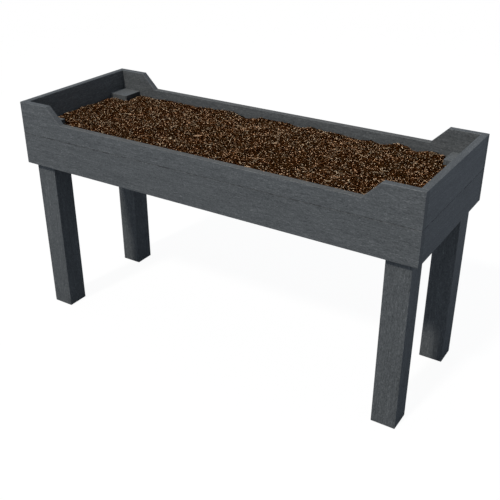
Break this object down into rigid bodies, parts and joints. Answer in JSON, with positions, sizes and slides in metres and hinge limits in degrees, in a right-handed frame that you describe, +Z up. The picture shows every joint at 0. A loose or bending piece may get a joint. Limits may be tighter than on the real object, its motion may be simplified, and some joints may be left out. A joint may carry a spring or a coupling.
{
  "type": "raised planter",
  "caption": "Raised planter: an open trough of two courses of boards with dipped long sides, slatted base and compost fill, on square corner posts.",
  "frame": {"origin": "on the ground under the middle of the trough, at the bottom centre of the bounding box", "axes": "+X along the trough's length, towards its right end; -Y towards its front; +Z up"},
  "size_m": [1.65, 0.6, 0.9],
  "materials": {
    "board": "anthracite recycled-plastic lumber, brushed grain along the board",
    "post": "anthracite recycled-plastic lumber, grain along the post",
    "slat": "anthracite recycled-plastic lumber, unlit underside",
    "batten": "anthracite recycled-plastic lumber, sawn batten",
    "liner": "woven black ground sheet",
    "compost": "dark brown fibrous compost with bark and pale fibres",
    "screw": "stainless steel, plain"
  },
  "bodies": {
    "root": {"back_bearer": "batten", "back_cleat": "batten", "back_lower_board": "board", "back_upper_board": "board", "base_slat_01": "slat", "base_slat_02": "slat", "base_slat_03": "slat", "base_slat_04": "slat", "base_slat_05": "slat", "base_slat_06": "slat", "base_slat_07": "slat", "base_slat_08": "slat", "base_slat_09": "slat", "base_slat_10": "slat", "base_slat_left_notched": "slat", "base_slat_right_notched": "slat", "bearer_screws": "screw", "cleat_screws": "screw", "compost": "compost", "front_bearer": "batten", "front_cleat": "batten", "front_lower_board": "board", "front_upper_board": "board", "left_bearer": "batten", "left_lower_board": "board", "left_upper_board": "board", "leg_back_left": "post", "leg_back_right": "post", "leg_front_left": "post", "leg_front_right": "post", "liner": "liner", "post_screws": "screw", "right_bearer": "batten", "right_lower_board": "board", "right_upper_board": "board", "slat_screws": "screw"}
  },
  "joints": []
}
